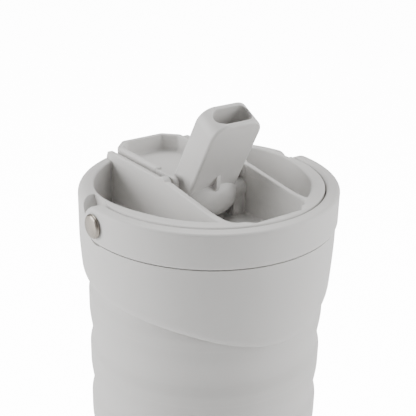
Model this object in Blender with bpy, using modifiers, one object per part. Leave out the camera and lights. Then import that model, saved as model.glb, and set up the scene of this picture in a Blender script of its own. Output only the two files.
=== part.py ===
"""Collapsible travel cup with a flip spout, a spout cover and a carry handle.

Metres, +Z up. The origin is the centre of the foot, on the surface that the
cup stands on. The front, where the stowed handle crosses, is -Y, and the
handle's pivot axis runs along X. The cup is modelled at full height, with the
spout raised and its cover open.
"""
import math

import bmesh
import bpy
from mathutils import Matrix, Vector

# ---------------------------------------------------------------- sizes
COLLAR_R = 0.0425            # outer radius of the lid's collar
CLEAR = 0.0003               # gap between pieces that touch
SLIP = 0.0005                # gap between pieces that turn or slide
SEGMENTS = 48                # steps round every full turn

# body wall
WAVE_PITCH = 0.0205          # height of one wave of the soft wall
WAVE_DEPTH = 0.0009          # how far a valley lies inside a crest
CREST_INSET = 0.0025         # crest radius below the collar radius
WAVE_COUNT = 4               # stiff bands between the neck and the base
WEB_WALL = 0.0016            # thickness of the soft web
BAND_WALL = 0.0030           # thickness of a stiff band
BAND_HEIGHT = 0.0040
SHOULDER = 0.0050            # height of the quick shoulder under a valley
CREST_FLAT = 0.0055          # straight height of a crest
FIRST_VALLEY = 0.0212        # topmost valley below the handle shelf

# base
BASE_HEIGHT = 0.0265
BASE_FLOOR = 0.0030
BASE_WALL = 0.0026
BASE_ROUND = 0.0045
FOOT_INSET = 0.0060          # foot ring inside the crests
FOOT_WIDTH = 0.0045
FOOT_HEIGHT = 0.0022
FOOT_PROUD = 0.0006

# neck
NECK_HEIGHT = 0.0110
NECK_WALL = 0.0038

# lid
RING_HEIGHT = 0.0120         # lid rim above the handle shelf
RIM_ROUND = 0.0030
RING_GAP = 0.0005            # between the lid ring and the stowed handle
RIM_WALL = 0.0045            # lid rim between the handle's seat and a pocket
POCKET_GROW = 0.0035         # how much wider the pockets are behind the handle's axis
DECK_DROP = 0.0030           # pocket floor below the handle shelf
DECK_WALL = 0.0020
COLLAR_DROP = 0.0190         # collar edge below the shelf at the sides
COLLAR_SLOPE = 0.07          # rise of the collar edge towards the back
APRON_DROP = 0.0072          # extra drop of the collar at the front
COLLAR_TAPER = 0.0011
PLUG_WALL = 0.0020
PLUG_HEIGHT = 0.0100
GASKET_DEPTH = 0.0011
GASKET_HEIGHT = 0.0036

# channel across the lid
CHANNEL_HALF = 0.0150
CHANNEL_WALL = 0.0020
CHANNEL_BACK = 0.0290
HOUSING_RISE = 0.0028        # channel walls above the rim, from the hinge to the back
HOUSING_BACK = 0.0365
CORNER_R = 0.0035

# handle
HANDLE_WALL = 0.0044
HANDLE_HEIGHT = 0.0117
HANDLE_SLOT_GAP = 0.0008
HANDLE_PROUD = 0.0006        # handle outside the collar
HANDLE_PAST = math.radians(26.0)   # how far the seat lets it lean past upright
RIVET_HEAD_R = 0.0039
RIVET_HEAD_HEIGHT = 0.0010
RIVET_SHANK_R = 0.0020
BUSH_WALL = 0.0008
BLIND_WALL = 0.0016          # lid rim left behind a rivet's end

# spout
SPOUT_WIDTH = 0.0194
SPOUT_THICK = 0.0098
SPOUT_LENGTH = 0.0345        # pivot to tip
SPOUT_SET = 0.0026           # tongue middle behind the pivot
SPOUT_CORNER = 0.0055
SPOUT_LEAN = math.radians(28.0)
SLOT_WIDTH = 0.0130
SLOT_THICK = 0.0058
HUB_R = 0.0070
AXLE_R = 0.0016
AXLE_GRIP = 0.0030           # how far an axle enters the hub
POST_WIDTH = 0.0090
PIVOT_Y = 0.0018
PIVOT_Z = 0.0060             # above the handle shelf
PORT_R = 0.0032

# cover over the folded spout
COVER_GAP = 0.0019           # between the spout and the cover's side walls
COVER_WALL = 0.0018
COVER_INSET = 0.0023         # cover's back edge inside the collar
COVER_FRONT = 0.0100
COVER_DEPTH = 0.0077
COVER_PROUD = 0.0037         # open cover's rim above the lid rim
COVER_CHAMFER = 0.0050
COVER_HINGE_Y = 0.0025
COVER_HINGE_Z = 0.0126       # above the handle shelf
KNUCKLE_R = 0.0026
COVER_PIN_R = 0.0011
BOSS_R = 0.0030

# ---------------------------------------------------------------- derived
CREST_R = COLLAR_R - CREST_INSET
FOOT_R = CREST_R - FOOT_INSET
VALLEY_R = CREST_R - WAVE_DEPTH
BORE_R = CREST_R + CLEAR
SHELF_Z = BASE_HEIGHT + WAVE_COUNT * WAVE_PITCH + FIRST_VALLEY
RIM_Z = SHELF_Z + RING_HEIGHT
DECK_Z = SHELF_Z - DECK_DROP
UNDER_Z = DECK_Z - DECK_WALL
NECK_TOP = UNDER_Z - CLEAR
NECK_BOTTOM = NECK_TOP - NECK_HEIGHT
NECK_R = CREST_R - CLEAR
NECK_BORE = NECK_R - NECK_WALL
HANDLE_OUT = COLLAR_R + HANDLE_PROUD
HANDLE_IN = HANDLE_OUT - HANDLE_WALL
RING_R = HANDLE_IN - RING_GAP
POCKET_R = RING_R - RIM_WALL
CHANNEL_FRONT = -(SPOUT_LENGTH - PIVOT_Y + SLIP)
RIVET_END = RING_R - RIM_WALL + POCKET_GROW / 2 + BLIND_WALL
COVER_HALF = SPOUT_WIDTH / 2 + COVER_GAP + COVER_WALL
COVER_BACK = COLLAR_R - COVER_INSET
HANDLE_LOW = SHELF_Z + CLEAR
HANDLE_AXIS_Z = HANDLE_LOW + HANDLE_HEIGHT / 2
BUSH_BORE = RIVET_SHANK_R + CLEAR
BUSH_R = BUSH_BORE + BUSH_WALL
HUB = Vector((0.0, PIVOT_Y, SHELF_Z + PIVOT_Z))
COVER_HINGE = Vector((0.0, COVER_HINGE_Y, SHELF_Z + COVER_HINGE_Z))
COVER_TOP = RIM_Z + COVER_PROUD
COVER_LOW = COVER_TOP - COVER_DEPTH

# ---------------------------------------------------------------- scene
for old in list(bpy.data.objects):
    bpy.data.objects.remove(old, do_unlink=True)

PARTS = bpy.data.collections.new("collapsible_travel_cup")
CUTTERS = bpy.data.collections.new("cutters")
bpy.context.scene.collection.children.link(PARTS)
bpy.context.scene.collection.children.link(CUTTERS)


def material(name, colour, roughness, metallic=0.0):
    """One Principled material."""
    made = bpy.data.materials.new(name)
    made.use_nodes = True
    shader = made.node_tree.nodes["Principled BSDF"]
    shader.inputs["Base Color"].default_value = (*colour, 1.0)
    shader.inputs["Roughness"].default_value = roughness
    shader.inputs["Metallic"].default_value = metallic
    return made


PLASTIC = (0.60, 0.59, 0.575)
SILICONE = (0.58, 0.57, 0.555)
STEEL = (0.62, 0.60, 0.57)


def add(name, mesh, looks=None, collection=PARTS):
    """Link a mesh as a named object, smooth where it is round."""
    mesh.shade_smooth()
    mesh.set_sharp_from_angle(angle=math.radians(35))
    made = bpy.data.objects.new(name, mesh)
    collection.objects.link(made)
    if looks:
        colour, roughness, metallic = looks
        made.data.materials.append(material(name + "_finish", colour, roughness, metallic))
    else:
        made.hide_render = True
        made.display_type = "WIRE"
    return made


def mesh_of(name, build):
    """Make a mesh with a bmesh function, with its faces pointing out."""
    work = bmesh.new()
    build(work)
    bmesh.ops.recalc_face_normals(work, faces=work.faces)
    mesh = bpy.data.meshes.new(name)
    work.to_mesh(mesh)
    work.free()
    return mesh


def turned(name, profile, looks, closed=True, steps=SEGMENTS, collection=PARTS):
    """Turn a profile of (radius, height) about Z with a Screw modifier."""
    mesh = bpy.data.meshes.new(name)
    points = [(radius, 0.0, height) for radius, height in profile]
    edges = [(i, i + 1) for i in range(len(points) - 1)]
    if closed:
        edges.append((len(points) - 1, 0))
    mesh.from_pydata(points, edges, [])
    made = add(name, mesh, looks, collection)
    screw = made.modifiers.new("turn", "SCREW")
    screw.steps = steps
    screw.render_steps = steps
    screw.use_merge_vertices = True
    screw.merge_threshold = 0.00001
    screw.use_smooth_shade = True
    return made


def prism(outline, low, high, corner=0.0):
    """Extrude an XY outline from low to high, its upright edges rounded by corner."""
    def build(work):
        ring = [work.verts.new((x, y, low)) for x, y in outline]
        face = work.faces.new(ring)
        raised = bmesh.ops.extrude_face_region(work, geom=[face])
        top = [item for item in raised["geom"] if isinstance(item, bmesh.types.BMVert)]
        bmesh.ops.translate(work, verts=top, vec=(0.0, 0.0, high - low))
        if corner:
            upright = [edge for edge in work.edges
                       if abs(edge.verts[0].co.z - edge.verts[1].co.z) > (high - low) / 2
                       and edge.calc_face_angle(0.0) > math.radians(40)]
            bmesh.ops.bevel(work, geom=upright, offset=corner, segments=3,
                            profile=0.5, affect="EDGES", material=-1)
    return build


def rod(radius, x_low, x_high, y, z, steps=24):
    """A cylinder along X."""
    def build(work):
        place = (Matrix.Translation(((x_low + x_high) / 2, y, z))
                 @ Matrix.Rotation(math.pi / 2, 4, "Y"))
        bmesh.ops.create_cone(work, cap_ends=True, segments=steps, radius1=radius,
                              radius2=radius, depth=abs(x_high - x_low), matrix=place)
    return build


def block(low, high):
    """A box from its lowest to its highest corner."""
    def build(work):
        middle = (Vector(low) + Vector(high)) / 2
        size = Vector(high) - Vector(low)
        place = Matrix.Translation(middle) @ Matrix.Diagonal((*size, 1.0))
        bmesh.ops.create_cube(work, size=1.0, matrix=place)
    return build


def tool(name, build):
    """A hidden object used by a Boolean."""
    return add(name, mesh_of(name, build), collection=CUTTERS)


def combine(target, other, operation):
    """Add one EXACT Boolean to the target."""
    boolean = target.modifiers.new(other.name, "BOOLEAN")
    boolean.object = other
    boolean.operation = operation
    boolean.solver = "EXACT"


def arc(radius, start, end, steps):
    """Points on a circle about Z, angles in degrees from +X."""
    angles = [math.radians(start + (end - start) * i / steps) for i in range(steps + 1)]
    return [(radius * math.cos(a), radius * math.sin(a)) for a in angles]


def chamfered(half, front, back, cut):
    """A rectangle about the Y axis with its far corners cut."""
    far, near = (back, front)
    step = math.copysign(cut, far - near)
    return [(-half, near), (half, near), (half, far - step),
            (half - cut, far), (-half + cut, far), (-half, far - step)]


def wave_radius(height):
    """Outer radius of the soft wall at a height."""
    below = (SHELF_Z - FIRST_VALLEY - height) % WAVE_PITCH
    if below < SHOULDER:
        share = math.sin(math.pi / 2 * below / SHOULDER) ** 2
    elif below < SHOULDER + CREST_FLAT:
        share = 1.0
    else:
        fall = (below - SHOULDER - CREST_FLAT) / (WAVE_PITCH - SHOULDER - CREST_FLAT)
        share = 1.0 - math.sin(math.pi / 2 * fall) ** 2
    return VALLEY_R + WAVE_DEPTH * share


def band_centre(index):
    """Height of a stiff band's middle, counted from the top."""
    return SHELF_Z - FIRST_VALLEY - index * WAVE_PITCH - SHOULDER - CREST_FLAT / 2


# ---------------------------------------------------------------- base
BASE_TOP = band_centre(WAVE_COUNT) + BAND_HEIGHT / 2


def make_base():
    """Base cup with a recess for the foot ring."""
    inner = CREST_R - BASE_WALL
    low = FOOT_PROUD
    curve = [(CREST_R - BASE_ROUND + BASE_ROUND * math.cos(a),
              low + BASE_ROUND - BASE_ROUND * math.sin(a))
             for a in [math.radians(22.5 * i) for i in range(5)]]
    foot_out = FOOT_R + CLEAR
    foot_in = FOOT_R - FOOT_WIDTH - CLEAR
    foot_top = FOOT_HEIGHT + CLEAR
    floor = low + FOOT_HEIGHT + BASE_FLOOR
    profile = [(CREST_R, BASE_TOP)]
    profile += curve
    profile += [(foot_out, low), (foot_out, foot_top), (foot_in, foot_top), (foot_in, low)]
    profile += [(0.0, low)]
    inside = [(0.0, floor), (inner - BASE_ROUND, floor), (inner, floor + BASE_ROUND),
              (inner, BASE_TOP)]
    turned("base_cup", inside + profile, (SILICONE, 0.55, 0.0), closed=False)
    low_ring = [(FOOT_R, FOOT_HEIGHT), (FOOT_R, 0.0), (FOOT_R - FOOT_WIDTH, 0.0),
                (FOOT_R - FOOT_WIDTH, FOOT_HEIGHT)]
    turned("foot_ring", low_ring, (SILICONE, 0.7, 0.0))


# ---------------------------------------------------------------- soft wall
def make_band(index):
    """Stiff band, index 0 at the top."""
    middle = band_centre(index)
    top = middle + BAND_HEIGHT / 2
    low = middle - BAND_HEIGHT / 2
    inner = CREST_R - BAND_WALL
    profile = [(CREST_R, top), (CREST_R, low), (inner, low), (inner, top)]
    turned("body_band_%d" % (index + 1), profile, (SILICONE, 0.55, 0.0))


def make_web(index, top, low):
    """Soft web that hangs between two stiff pieces."""
    top -= CLEAR
    low += CLEAR
    count = 6
    heights = [top + (low - top) * i / count for i in range(count + 1)]
    outer = [(wave_radius(z), z) for z in heights]
    inner = [(VALLEY_R - WEB_WALL, low), (VALLEY_R - WEB_WALL, top)]
    turned("body_web_%d" % (index + 1), outer + inner, (SILICONE, 0.55, 0.0))


def make_wall():
    """Every band, every web and the neck ring."""
    edges = [NECK_BOTTOM]
    for index in range(WAVE_COUNT):
        make_band(index)
        edges += [band_centre(index) + BAND_HEIGHT / 2, band_centre(index) - BAND_HEIGHT / 2]
    edges.append(BASE_TOP)
    for index in range(WAVE_COUNT + 1):
        make_web(index, edges[2 * index], edges[2 * index + 1])
    neck = [(NECK_R, NECK_TOP), (NECK_R, NECK_BOTTOM), (NECK_BORE, NECK_BOTTOM),
            (NECK_BORE, NECK_TOP)]
    turned("neck_ring", neck, (PLASTIC, 0.45, 0.0))


# ---------------------------------------------------------------- lid
def collar_edge(y):
    """Height of the collar's lower edge: low at the front, high at the back."""
    drop = COLLAR_DROP - COLLAR_SLOPE * y
    if y < 0.0:
        drop += APRON_DROP * (-y / COLLAR_R) ** 4
    return SHELF_Z - drop


def swoop(work):
    """Cutter under the collar's curved lower edge."""
    reach = COLLAR_R * 1.1
    count = 22
    line = [-reach + 2 * reach * i / count for i in range(count + 1)]
    outline = [(y, collar_edge(max(y, -COLLAR_R))) for y in line]
    outline += [(reach, 0.0), (-reach, 0.0)]
    ring = [work.verts.new((-reach, y, z)) for y, z in outline]
    face = work.faces.new(ring)
    raised = bmesh.ops.extrude_face_region(work, geom=[face])
    moved = [item for item in raised["geom"] if isinstance(item, bmesh.types.BMVert)]
    bmesh.ops.translate(work, verts=moved, vec=(2 * reach, 0.0, 0.0))


def swing_seat(sign, depth, lean, half, outside):
    """Cutter for the room behind a handle end, leaning towards the back."""
    near = sign * (RING_R - depth)
    far = sign * outside
    low = (min(near, far), 0.0, 0.0)
    high = (max(near, far), half, 0.03)

    def build(work):
        block(low, high)(work)
        place = Matrix.Translation((0.0, 0.0, HANDLE_AXIS_Z)) @ Matrix.Rotation(-lean, 4, "X")
        bmesh.ops.transform(work, matrix=place, verts=work.verts)
    return build


PLUG_R = NECK_BORE - SLIP
PLUG_LOW = UNDER_Z - PLUG_HEIGHT
GROOVE_TOP = UNDER_Z - (PLUG_HEIGHT - GASKET_HEIGHT) / 2
GROOVE_LOW = GROOVE_TOP - GASKET_HEIGHT


def pocket_outline(wall_x):
    """Outline of the right pocket, wider behind the handle's axis than in front of it."""
    front = -math.degrees(math.acos(wall_x / POCKET_R))
    back = math.degrees(math.acos(wall_x / (POCKET_R + POCKET_GROW)))
    points = []
    for step in range(17):
        angle = front + (back - front) * step / 16
        share = min(1.0, max(0.0, (angle + 25.0) / 50.0))
        radius = POCKET_R + POCKET_GROW * share * share * (3.0 - 2.0 * share)
        points.append((radius * math.cos(math.radians(angle)),
                       radius * math.sin(math.radians(angle))))
    return points


def housing(half):
    """Raised body of the channel, sloping down to the rim at the front."""
    def build(work):
        top = RIM_Z + HOUSING_RISE
        outline = [(CHANNEL_FRONT, RIM_Z - 0.004), (CHANNEL_FRONT, RIM_Z - 0.0001),
                   (PIVOT_Y, top), (HOUSING_BACK, top), (HOUSING_BACK, RIM_Z - 0.004)]
        face = work.faces.new([work.verts.new((-half, y, z)) for y, z in outline])
        raised = bmesh.ops.extrude_face_region(work, geom=[face])
        moved = [item for item in raised["geom"] if isinstance(item, bmesh.types.BMVert)]
        bmesh.ops.translate(work, verts=moved, vec=(2 * half, 0.0, 0.0))
        bmesh.ops.recalc_face_normals(work, faces=work.faces)
    return build


def make_lid():
    """Lid with its collar, plug, pockets, channel and hinge posts."""
    skirt_low = SHELF_Z - COLLAR_DROP - APRON_DROP - COLLAR_SLOPE * COLLAR_R - 0.002
    round_top = [(COLLAR_R - RIM_ROUND + RIM_ROUND * math.sin(a),
                  RIM_Z - RIM_ROUND + RIM_ROUND * math.cos(a))
                 for a in [math.radians(22.5 * i) for i in range(5)]]
    profile = [(0.0, RIM_Z)] + round_top
    profile += [(COLLAR_R, SHELF_Z - 0.006), (COLLAR_R - COLLAR_TAPER, skirt_low)]
    profile += [(BORE_R, skirt_low), (BORE_R, UNDER_Z)]
    plug_in = PLUG_R - PLUG_WALL
    profile += [(PLUG_R, UNDER_Z), (PLUG_R, GROOVE_TOP), (PLUG_R - GASKET_DEPTH, GROOVE_TOP),
                (PLUG_R - GASKET_DEPTH, GROOVE_LOW), (PLUG_R, GROOVE_LOW), (PLUG_R, PLUG_LOW),
                (plug_in, PLUG_LOW), (plug_in, UNDER_Z), (0.0, UNDER_Z)]
    lid = turned("lid_shell", profile, (PLASTIC, 0.45, 0.0), closed=False)

    above = RIM_Z + 0.02
    wall_x = CHANNEL_HALF + CHANNEL_WALL
    combine(lid, tool("add_housing", housing(wall_x - 0.0001)), "UNION")
    cuts = [("cut_swoop", swoop)]
    outside = COLLAR_R + 0.006
    shelf = arc(outside, 180, 360, 32) + arc(RING_R, 360, 180, 32)
    cuts.append(("cut_handle_shelf", prism(shelf, SHELF_Z, above)))
    end_r = HANDLE_HEIGHT / 2 + HANDLE_SLOT_GAP
    for side, sign in (("left", -1), ("right", 1)):
        seat = rod(end_r, sign * (RING_R - 0.0002), sign * outside, 0.0, HANDLE_AXIS_Z, 32)
        cuts.append(("cut_handle_end_" + side, seat))
        cuts.append(("cut_handle_up_" + side, swing_seat(sign, 0.0002, 0.0, end_r, outside)))
        cuts.append(("cut_handle_past_" + side,
                     swing_seat(sign, 0.0012, HANDLE_PAST, end_r, outside)))
    right = pocket_outline(wall_x)
    left = [(-x, y) for x, y in reversed(right)]
    cuts.append(("cut_pocket_right", prism(right, DECK_Z, above, CORNER_R)))
    cuts.append(("cut_pocket_left", prism(left, DECK_Z, above, CORNER_R)))
    channel = [(-CHANNEL_HALF, CHANNEL_FRONT), (CHANNEL_HALF, CHANNEL_FRONT),
               (CHANNEL_HALF, CHANNEL_BACK), (-CHANNEL_HALF, CHANNEL_BACK)]
    cuts.append(("cut_channel", prism(channel, DECK_Z, above, CORNER_R)))
    seat_half = COVER_HALF + SLIP
    rear = chamfered(seat_half, 0.0, COVER_BACK + SLIP, COVER_CHAMFER)
    cuts.append(("cut_cover_rest", prism(rear, COVER_LOW - CLEAR, above)))
    closed_front = 2 * COVER_HINGE_Y - COVER_BACK
    closed_low = 2 * COVER_HINGE.z - COVER_TOP
    ledge = chamfered(seat_half, 0.0, closed_front - SLIP, COVER_CHAMFER)
    cuts.append(("cut_cover_ledge", prism(ledge, closed_low - CLEAR, above)))
    for name, build in cuts:
        combine(lid, tool(name, build), "DIFFERENCE")

    post_in = SPOUT_WIDTH / 2 + SLIP
    post_top = COVER_HINGE.z - KNUCKLE_R - SLIP
    for side, sign in (("left", -1), ("right", 1)):
        near = sign * post_in
        far = sign * (CHANNEL_HALF + CHANNEL_WALL / 2)
        low = (min(near, far), PIVOT_Y - POST_WIDTH / 2, DECK_Z - DECK_WALL / 2)
        high = (max(near, far), PIVOT_Y + POST_WIDTH / 2, post_top)
        combine(lid, tool("add_post_" + side, block(low, high)), "UNION")
        boss = rod(BOSS_R, sign * (COVER_HALF + 2 * SLIP),
                   sign * (CHANNEL_HALF + CHANNEL_WALL - 0.0001), COVER_HINGE.y, COVER_HINGE.z)
        combine(lid, tool("add_boss_" + side, boss), "UNION")
    for side, sign in (("left", -1), ("right", 1)):
        axle = rod(AXLE_R + CLEAR, sign * post_in * 0.9, sign * (post_in + AXLE_GRIP + 2 * CLEAR),
                   HUB.y, HUB.z, 16)
        combine(lid, tool("cut_axle_" + side, axle), "DIFFERENCE")
        pin = rod(COVER_PIN_R + CLEAR, sign * COVER_HALF, sign * (CHANNEL_HALF + 0.0012),
                  COVER_HINGE.y, COVER_HINGE.z, 16)
        combine(lid, tool("cut_cover_pin_" + side, pin), "DIFFERENCE")
        rivet = rod(RIVET_SHANK_R + CLEAR, sign * (RIVET_END - CLEAR), sign * outside,
                    0.0, HANDLE_AXIS_Z, 24)
        combine(lid, tool("cut_rivet_" + side, rivet), "DIFFERENCE")

    def port(work):
        place = Matrix.Translation((0.0, HUB.y, DECK_Z))
        bmesh.ops.create_cone(work, cap_ends=True, segments=24, radius1=PORT_R,
                              radius2=PORT_R, depth=0.01, matrix=place)
    combine(lid, tool("cut_port", port), "DIFFERENCE")


def make_seals():
    """Gasket on the plug and seal under the spout's hub."""
    inner = PLUG_R - GASKET_DEPTH + CLEAR
    outer = NECK_BORE - CLEAR
    top = GROOVE_TOP - CLEAR
    low = GROOVE_LOW + CLEAR
    gasket = [(outer - 0.0003, top), (outer, (top + low) / 2), (outer - 0.0003, low),
              (inner, low), (inner, top)]
    turned("lid_gasket", gasket, (SILICONE, 0.6, 0.0))
    seal_low = DECK_Z + CLEAR
    seal_top = HUB.z - HUB_R - CLEAR
    seal = [(HUB_R - 0.0005, seal_top), (HUB_R - 0.0005, seal_low), (PORT_R, seal_low),
            (PORT_R, seal_top)]
    made = turned("spout_seal", seal, (SILICONE, 0.6, 0.0), steps=32)
    made.location.y = HUB.y


# ---------------------------------------------------------------- handle
def make_handle():
    """Half ring with a round end at each rivet, its origin on the pivot axis."""
    outline = arc(HANDLE_OUT, 180, 360, 40) + arc(HANDLE_IN, 360, 180, 40)
    half = HANDLE_HEIGHT / 2
    handle = add("carry_handle", mesh_of("carry_handle", prism(outline, -half, half)),
                 (PLASTIC, 0.45, 0.0))
    handle.location.z = HANDLE_AXIS_Z
    for side, sign in (("left", -1), ("right", 1)):
        end = tool("add_handle_end_" + side,
                   rod(half, sign * HANDLE_IN, sign * HANDLE_OUT, 0.0, HANDLE_AXIS_Z, 32))
        combine(handle, end, "UNION")
    for side, sign in (("left", -1), ("right", 1)):
        hole = tool("cut_handle_bore_" + side,
                    rod(BUSH_R + CLEAR, sign * (HANDLE_IN - 0.002), sign * (HANDLE_OUT + 0.002),
                        0.0, HANDLE_AXIS_Z, 24))
        combine(handle, hole, "DIFFERENCE")


def stepped_pin(sections, sign):
    """A turned pin along X, given as (radius, x) from its outer end inward."""
    def build(work):
        points = [(sections[0][1], 0.0)]
        points += [(x, radius) for radius, x in sections]
        points += [(sections[-1][1], 0.0)]
        verts = [work.verts.new((sign * x, 0.0, radius)) for x, radius in points]
        edges = [work.edges.new(pair) for pair in zip(verts, verts[1:])]
        bmesh.ops.spin(work, geom=verts + edges, cent=(0.0, 0.0, 0.0), axis=(1.0, 0.0, 0.0),
                       angle=2 * math.pi, steps=28, use_merge=True)
        bmesh.ops.remove_doubles(work, verts=work.verts, dist=0.000001)
    return build


def ring_x(name, inner, outer, x_near, x_far, sign, looks):
    """A plain ring about the handle's axis."""
    body = add(name, mesh_of(name, rod(outer, sign * x_near, sign * x_far, 0.0, 0.0)), looks)
    body.location.z = HANDLE_AXIS_Z
    bore = tool("cut_" + name, rod(inner, sign * (x_near - 0.002), sign * (x_far + 0.002),
                                   0.0, HANDLE_AXIS_Z))
    combine(body, bore, "DIFFERENCE")


def make_rivets():
    """Rivet and bush at each end of the handle."""
    for side, sign in (("left", -1), ("right", 1)):
        head_in = HANDLE_OUT + CLEAR
        head_out = head_in + RIVET_HEAD_HEIGHT
        bevel = 0.0004
        sections = [(RIVET_HEAD_R - bevel, head_out), (RIVET_HEAD_R, head_out - bevel),
                    (RIVET_HEAD_R, head_in), (RIVET_SHANK_R, head_in), (RIVET_SHANK_R, RIVET_END)]
        rivet = add("handle_rivet_" + side,
                    mesh_of("handle_rivet_" + side, stepped_pin(sections, sign)),
                    (STEEL, 0.3, 1.0))
        rivet.location.z = HANDLE_AXIS_Z
        ring_x("rivet_bush_" + side, BUSH_BORE, BUSH_R, RING_R + 2 * CLEAR,
               HANDLE_OUT - CLEAR, sign, (PLASTIC, 0.4, 0.0))


# ---------------------------------------------------------------- spout
def make_spout():
    """Drinking spout: a flat tongue on a round hub, with a passage through it."""
    half = SPOUT_WIDTH / 2
    corner = [(half - SPOUT_CORNER + SPOUT_CORNER * math.cos(a),
               SPOUT_LENGTH - SPOUT_CORNER + SPOUT_CORNER * math.sin(a))
              for a in [math.radians(15 * i) for i in range(7)]]
    outline = [(-half, 0.0), (half, 0.0)] + corner
    outline += [(-x, z) for x, z in reversed(corner)]

    def tongue(work):
        back = SPOUT_SET + SPOUT_THICK / 2
        ring = [work.verts.new((x, back, z)) for x, z in outline]
        face = work.faces.new(ring)
        raised = bmesh.ops.extrude_face_region(work, geom=[face])
        moved = [item for item in raised["geom"] if isinstance(item, bmesh.types.BMVert)]
        bmesh.ops.translate(work, verts=moved, vec=(0.0, -SPOUT_THICK, 0.0))
        bmesh.ops.recalc_face_normals(work, faces=work.faces)
        sharp = [edge for edge in work.edges if edge.calc_face_angle(0.0) > math.radians(40)]
        bmesh.ops.bevel(work, geom=sharp, offset=0.0010, segments=2, profile=0.5,
                        affect="EDGES", material=-1)

    spout = add("spout", mesh_of("spout", tongue), (PLASTIC, 0.45, 0.0))
    spout.location = HUB
    spout.rotation_euler.x = SPOUT_LEAN
    lean = Matrix.Translation(HUB) @ Matrix.Rotation(SPOUT_LEAN, 4, "X")
    hub = tool("add_spout_hub", rod(HUB_R, -half, half, HUB.y, HUB.z, 40))
    combine(spout, hub, "UNION")

    def slot(work):
        end = SLOT_WIDTH / 2 - SLOT_THICK / 2
        right = [(end + x, y + SPOUT_SET) for x, y in arc(SLOT_THICK / 2, -90, 90, 8)]
        left = [(-end + x, y + SPOUT_SET) for x, y in arc(SLOT_THICK / 2, 90, 270, 8)]
        prism(right + left, HUB_R * 0.6, SPOUT_LENGTH + 0.005)(work)
        bmesh.ops.transform(work, matrix=lean, verts=work.verts)

    def drain(work):
        place = Matrix.Translation((0.0, HUB.y, HUB.z - HUB_R / 2 + 0.002))
        bmesh.ops.create_cone(work, cap_ends=True, segments=20, radius1=PORT_R - 0.0002,
                              radius2=PORT_R - 0.0002, depth=HUB_R + 0.006, matrix=place)
    combine(spout, tool("cut_spout_slot", slot), "DIFFERENCE")
    combine(spout, tool("cut_spout_drain", drain), "DIFFERENCE")
    for side, sign in (("left", -1), ("right", 1)):
        bore = tool("cut_hub_" + side, rod(AXLE_R + CLEAR, sign * (half - AXLE_GRIP - CLEAR),
                                           sign * (half + 0.002), HUB.y, HUB.z, 16))
        combine(spout, bore, "DIFFERENCE")
        axle = add("spout_axle_" + side,
                   mesh_of("spout_axle_" + side,
                           rod(AXLE_R, sign * (half - AXLE_GRIP),
                               sign * (half + SLIP + AXLE_GRIP), 0.0, 0.0, 16)),
                   (STEEL, 0.3, 1.0))
        axle.location = HUB


# ---------------------------------------------------------------- cover
def make_cover():
    """Shallow cap, open and lying on its back behind the spout."""
    outline = chamfered(COVER_HALF, COVER_FRONT, COVER_BACK, COVER_CHAMFER)
    low = COVER_LOW - COVER_HINGE.z
    high = COVER_TOP - COVER_HINGE.z
    shifted = [(x, y - COVER_HINGE.y) for x, y in outline]
    cover = add("spout_cover", mesh_of("spout_cover", prism(shifted, low, high)),
                (PLASTIC, 0.45, 0.0))
    cover.location = COVER_HINGE
    inner = COVER_HALF - COVER_WALL
    pocket = chamfered(inner, COVER_FRONT - 0.002, COVER_BACK - COVER_WALL,
                       COVER_CHAMFER - COVER_WALL * 0.4)
    combine(cover, tool("cut_cover_pocket",
                        prism(pocket, COVER_LOW + COVER_WALL, COVER_TOP + 0.01)), "DIFFERENCE")
    for side, sign in (("left", -1), ("right", 1)):
        near = sign * inner
        far = sign * COVER_HALF
        inset = 0.0001
        rise = KNUCKLE_R - 2 * inset
        arm_low = (min(near, far) + inset, COVER_HINGE.y, COVER_HINGE.z - rise)
        arm_high = (max(near, far) - inset, COVER_FRONT + COVER_WALL / 2, COVER_HINGE.z + rise)
        combine(cover, tool("add_arm_" + side, block(arm_low, arm_high)), "UNION")
        knuckle = rod(KNUCKLE_R, near, far, COVER_HINGE.y, COVER_HINGE.z, 24)
        combine(cover, tool("add_knuckle_" + side, knuckle), "UNION")
        bore = rod(COVER_PIN_R + CLEAR, sign * (inner - 0.002), sign * (COVER_HALF + 0.002),
                   COVER_HINGE.y, COVER_HINGE.z, 16)
        combine(cover, tool("cut_knuckle_" + side, bore), "DIFFERENCE")
        pin = add("cover_pin_" + side,
                  mesh_of("cover_pin_" + side,
                          rod(COVER_PIN_R, sign * inner, sign * (CHANNEL_HALF + 0.0009),
                              0.0, 0.0, 16)), (STEEL, 0.3, 1.0))
        pin.location = COVER_HINGE


make_base()
make_wall()
make_lid()
make_seals()
make_handle()
make_rivets()
make_spout()
make_cover()
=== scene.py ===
"""Fine surface, materials and stage of a collapsible travel cup.

Every length is in metres, and the places of the parts are read from the frame.
The cup stands on Z = 0, its front, where the stowed handle crosses, is -Y.
"""
import math

import bmesh
import bpy
from mathutils import Matrix, Vector


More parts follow.
